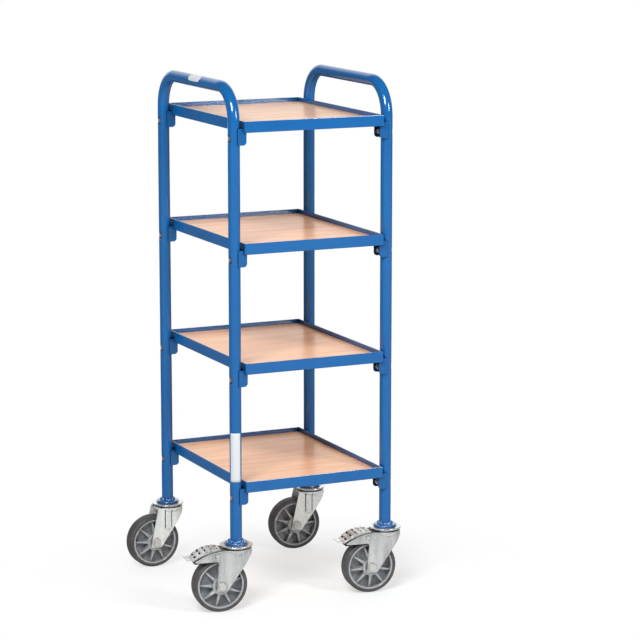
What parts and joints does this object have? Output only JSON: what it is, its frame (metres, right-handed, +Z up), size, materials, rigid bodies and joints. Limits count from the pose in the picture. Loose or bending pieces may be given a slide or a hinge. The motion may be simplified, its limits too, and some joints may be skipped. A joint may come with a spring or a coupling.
{
  "type": "auxiliary trolley",
  "caption": "Tall narrow shelf trolley of bent blue tube with beech decks in raised angle frames, push handles at both ends, and swivel casters with foot brakes at the front.",
  "frame": {"origin": "on the floor, below the middle of the whole trolley with its casters trailing to -X", "axes": "+X from the left end frame to the right one, +Y from the braked front to the back, +Z up"},
  "size_m": [0.5324, 0.4974, 1.1924],
  "materials": {
    "blue_paint": "gloss powder coat",
    "beech_decor": "satin beech decor board",
    "zinc_sheet": "zinc plated pressed sheet",
    "zinc_fastener": "zinc plated",
    "bearing_steel": "ground steel",
    "rim_plastic": "moulded grey plastic",
    "tyre_rubber": "grey thermoplastic rubber",
    "shoe_rubber": "moulded rubber"
  },
  "bodies": {
    "frame": {"bracket_bolts": "zinc_fastener", "bracket_nuts": "zinc_fastener", "bracket_washers": "zinc_fastener", "caster_head_front_left": "zinc_sheet", "caster_head_front_right": "zinc_sheet", "caster_head_rear_left": "zinc_sheet", "caster_head_rear_right": "zinc_sheet", "corner_brackets_bottom": "blue_paint", "corner_brackets_lower": "blue_paint", "corner_brackets_top": "blue_paint", "corner_brackets_upper": "blue_paint", "end_frame_left": "blue_paint", "end_frame_right": "blue_paint", "pivot_bolts": "zinc_fastener", "pivot_bushes": "bearing_steel", "pivot_washers": "zinc_fastener", "post_feet": "blue_paint", "shelf_board_bottom": "beech_decor", "shelf_board_lower": "beech_decor", "shelf_board_top": "beech_decor", "shelf_board_upper": "beech_decor", "shelf_frame_bottom": "blue_paint", "shelf_frame_lower": "blue_paint", "shelf_frame_top": "blue_paint", "shelf_frame_upper": "blue_paint", "swivel_balls": "bearing_steel"},
    "swivel_rear_left": {"fork_rear_left": "zinc_sheet", "axle_bolt_rear_left": "zinc_fastener", "axle_sleeve_rear_left": "bearing_steel", "axle_nut_rear_left": "zinc_fastener"},
    "wheel_rear_left": {"wheel_rim_rear_left": "rim_plastic", "tyre_rear_left": "tyre_rubber", "wheel_bearings_rear_left": "bearing_steel"},
    "swivel_front_left": {"fork_front_left": "zinc_sheet", "axle_bolt_front_left": "zinc_fastener", "axle_sleeve_front_left": "bearing_steel", "axle_nut_front_left": "zinc_fastener", "brake_pin_front_left": "zinc_fastener"},
    "wheel_front_left": {"wheel_rim_front_left": "rim_plastic", "tyre_front_left": "tyre_rubber", "wheel_bearings_front_left": "bearing_steel"},
    "pedal_front_left": {"brake_pedal_front_left": "zinc_sheet", "brake_shoe_front_left": "shoe_rubber"},
    "swivel_rear_right": {"fork_rear_right": "zinc_sheet", "axle_bolt_rear_right": "zinc_fastener", "axle_sleeve_rear_right": "bearing_steel", "axle_nut_rear_right": "zinc_fastener"},
    "wheel_rear_right": {"wheel_rim_rear_right": "rim_plastic", "tyre_rear_right": "tyre_rubber", "wheel_bearings_rear_right": "bearing_steel"},
    "swivel_front_right": {"fork_front_right": "zinc_sheet", "axle_bolt_front_right": "zinc_fastener", "axle_sleeve_front_right": "bearing_steel", "axle_nut_front_right": "zinc_fastener", "brake_pin_front_right": "zinc_fastener"},
    "wheel_front_right": {"wheel_rim_front_right": "rim_plastic", "tyre_front_right": "tyre_rubber", "wheel_bearings_front_right": "bearing_steel"},
    "pedal_front_right": {"brake_pedal_front_right": "zinc_sheet", "brake_shoe_front_right": "shoe_rubber"}
  },
  "joints": [
    {"name": "swivel_turn_rear_left", "type": "hinge", "parent": "frame", "child": "swivel_rear_left", "pos_m": [-0.14525, 0.209, 0.141], "axis": [0, 0, 1], "continuous": true},
    {"name": "wheel_roll_rear_left", "type": "hinge", "parent": "swivel_rear_left", "child": "wheel_rear_left", "pos_m": [-0.18525, 0.20865, 0.0625], "axis": [-0.0087, 1, 0], "continuous": true},
    {"name": "swivel_turn_front_left", "type": "hinge", "parent": "frame", "child": "swivel_front_left", "pos_m": [-0.14525, -0.209, 0.141], "axis": [0, 0, 1], "continuous": true},
    {"name": "wheel_roll_front_left", "type": "hinge", "parent": "swivel_front_left", "child": "wheel_front_left", "pos_m": [-0.18482, -0.20316, 0.0625], "axis": [0.1461, 0.9893, 0], "continuous": true},
    {"name": "pedal_press_front_left", "type": "hinge", "parent": "swivel_front_left", "child": "pedal_front_left", "pos_m": [-0.19472, -0.2017, 0.134], "axis": [-0.1461, -0.9893, 0], "range_deg": [0, 9]},
    {"name": "swivel_turn_rear_right", "type": "hinge", "parent": "frame", "child": "swivel_rear_right", "pos_m": [0.22875, 0.209, 0.141], "axis": [0, 0, 1], "continuous": true},
    {"name": "wheel_roll_rear_right", "type": "hinge", "parent": "swivel_rear_right", "child": "wheel_rear_right", "pos_m": [0.18914, 0.21457, 0.0625], "axis": [0.1392, 0.9903, 0], "continuous": true},
    {"name": "swivel_turn_front_right", "type": "hinge", "parent": "frame", "child": "swivel_front_right", "pos_m": [0.22875, -0.209, 0.141], "axis": [0, 0, 1], "continuous": true},
    {"name": "wheel_roll_front_right", "type": "hinge", "parent": "swivel_front_right", "child": "wheel_front_right", "pos_m": [0.18906, -0.20406, 0.0625], "axis": [0.1236, 0.9923, 0], "continuous": true},
    {"name": "pedal_press_front_right", "type": "hinge", "parent": "swivel_front_right", "child": "pedal_front_right", "pos_m": [0.17913, -0.20282, 0.134], "axis": [-0.1236, -0.9923, 0], "range_deg": [0, 9]}
  ]
}
